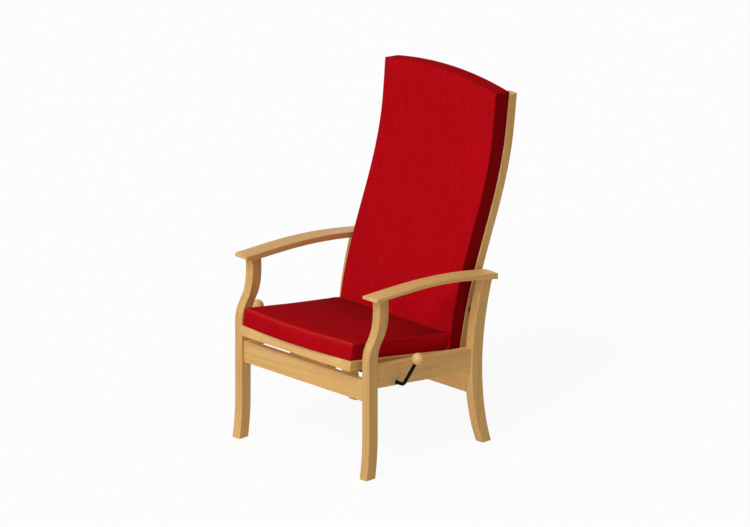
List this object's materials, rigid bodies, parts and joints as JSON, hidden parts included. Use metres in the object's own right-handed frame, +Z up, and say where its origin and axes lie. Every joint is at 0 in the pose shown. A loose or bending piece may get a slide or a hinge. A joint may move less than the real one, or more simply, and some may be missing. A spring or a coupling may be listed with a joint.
{
  "type": "reclining armchair",
  "caption": "High-back upholstered armchair with a slender beech frame; a side lever unlocks a gas spring so the back reclines and carries the seat forward.",
  "frame": {"origin": "centre of the footprint of the whole chair, on the floor", "axes": "+Z up, the sitter faces -Y, the sitter's left is +X"},
  "size_m": [0.791, 0.7955, 1.2059],
  "materials": {
    "beech": "clear satin lacquer on light beech",
    "inner_beech": "planed beech, unlacquered",
    "plywood": "thin beech plywood",
    "red_cloth": "fine plain-woven wool, matt",
    "black_steel": "black powder coat",
    "zinc_steel": "bright zinc plate",
    "polished_rod": "hard-chromed and ground",
    "nylon": "moulded dark nylon"
  },
  "bodies": {
    "base": {"arm_left": "beech", "arm_right": "beech", "arm_dowels": "inner_beech", "front_leg_left": "beech", "front_leg_right": "beech", "rear_leg_left": "beech", "rear_leg_right": "beech", "rail_dowels": "inner_beech", "side_rail_left": "beech", "side_rail_right": "beech", "front_rail": "beech", "rear_rail": "beech", "seat_runners": "inner_beech", "runner_strips": "nylon", "runner_screws": "zinc_steel", "lever_bushes": "nylon", "front_block": "inner_beech", "front_block_screws": "zinc_steel", "spring_bracket": "zinc_steel", "bracket_screws": "zinc_steel", "spring_front_pin": "zinc_steel", "corner_blocks": "inner_beech", "foot_glides": "nylon", "pivot_spacers": "black_steel", "pivot_bolts": "zinc_steel"},
    "back": {"back_upright_left": "beech", "back_upright_right": "beech", "back_lower_rail": "beech", "back_middle_rail": "beech", "back_top_rail": "beech", "back_dowels": "inner_beech", "back_board": "plywood", "back_board_screws": "zinc_steel", "back_cushion": "red_cloth", "spring_lugs": "zinc_steel", "spring_lug_screws": "zinc_steel", "spring_rear_pin": "zinc_steel"},
    "seat": {"seat_side_left": "beech", "seat_side_right": "beech", "seat_front_member": "beech", "seat_middle_slat": "inner_beech", "seat_rear_slat": "inner_beech", "seat_dowels": "inner_beech", "seat_board": "plywood", "seat_board_screws": "zinc_steel", "seat_cushion": "red_cloth", "hinge_plates": "zinc_steel", "hinge_plate_screws": "zinc_steel", "seat_pivot_bolts": "zinc_steel"},
    "lever": {"lever_shaft": "black_steel", "lever_arm_left": "black_steel", "lever_arm_right": "black_steel", "lever_knob_left": "beech", "lever_knob_right": "beech", "lever_paddle": "black_steel"},
    "gas_rod": {"spring_head": "zinc_steel", "spring_rod": "polished_rod"},
    "gas_tube": {"spring_tube": "black_steel"},
    "release_pin": {"release_pin": "zinc_steel"}
  },
  "joints": [
    {"name": "back_recline", "type": "hinge", "parent": "base", "child": "back", "pos_m": [0, 0.18026, 0.459], "axis": [-1, 0, 0], "range_deg": [0, 20]},
    {"name": "seat_pivot", "type": "hinge", "parent": "back", "child": "seat", "pos_m": [0, 0.14526, 0.309], "axis": [-1, 0, 0], "range_deg": [-21.2, 0]},
    {"name": "spring_swing", "type": "hinge", "parent": "base", "child": "gas_rod", "pos_m": [0, -0.19274, 0.327], "axis": [-1, 0, 0], "range_deg": [-6.2, 0]},
    {"name": "spring_stroke", "type": "slide", "parent": "gas_rod", "child": "gas_tube", "axis": [0, -0.9912, 0.1326], "range_m": [0, 0.0585]},
    {"name": "lever_turn", "type": "hinge", "parent": "base", "child": "lever", "pos_m": [0, -0.21374, 0.313], "axis": [-1, 0, 0], "range_deg": [0, 10], "stiffness_Nm_per_rad": 2, "springref_deg": -4.58},
    {"name": "release_pin_push", "type": "slide", "parent": "gas_rod", "child": "release_pin", "axis": [0, 0.9912, -0.1326], "range_m": [0, 0.0032]}
  ],
  "couplings": [
    {"joint": "seat_pivot", "follows": "back_recline", "ratio": -1.04},
    {"joint": "spring_swing", "follows": "back_recline", "ratio": -0.29776},
    {"joint": "spring_stroke", "follows": "back_recline", "m_per_rad": 0.16646},
    {"joint": "release_pin_push", "follows": "lever_turn", "m_per_rad": 0.0165}
  ]
}
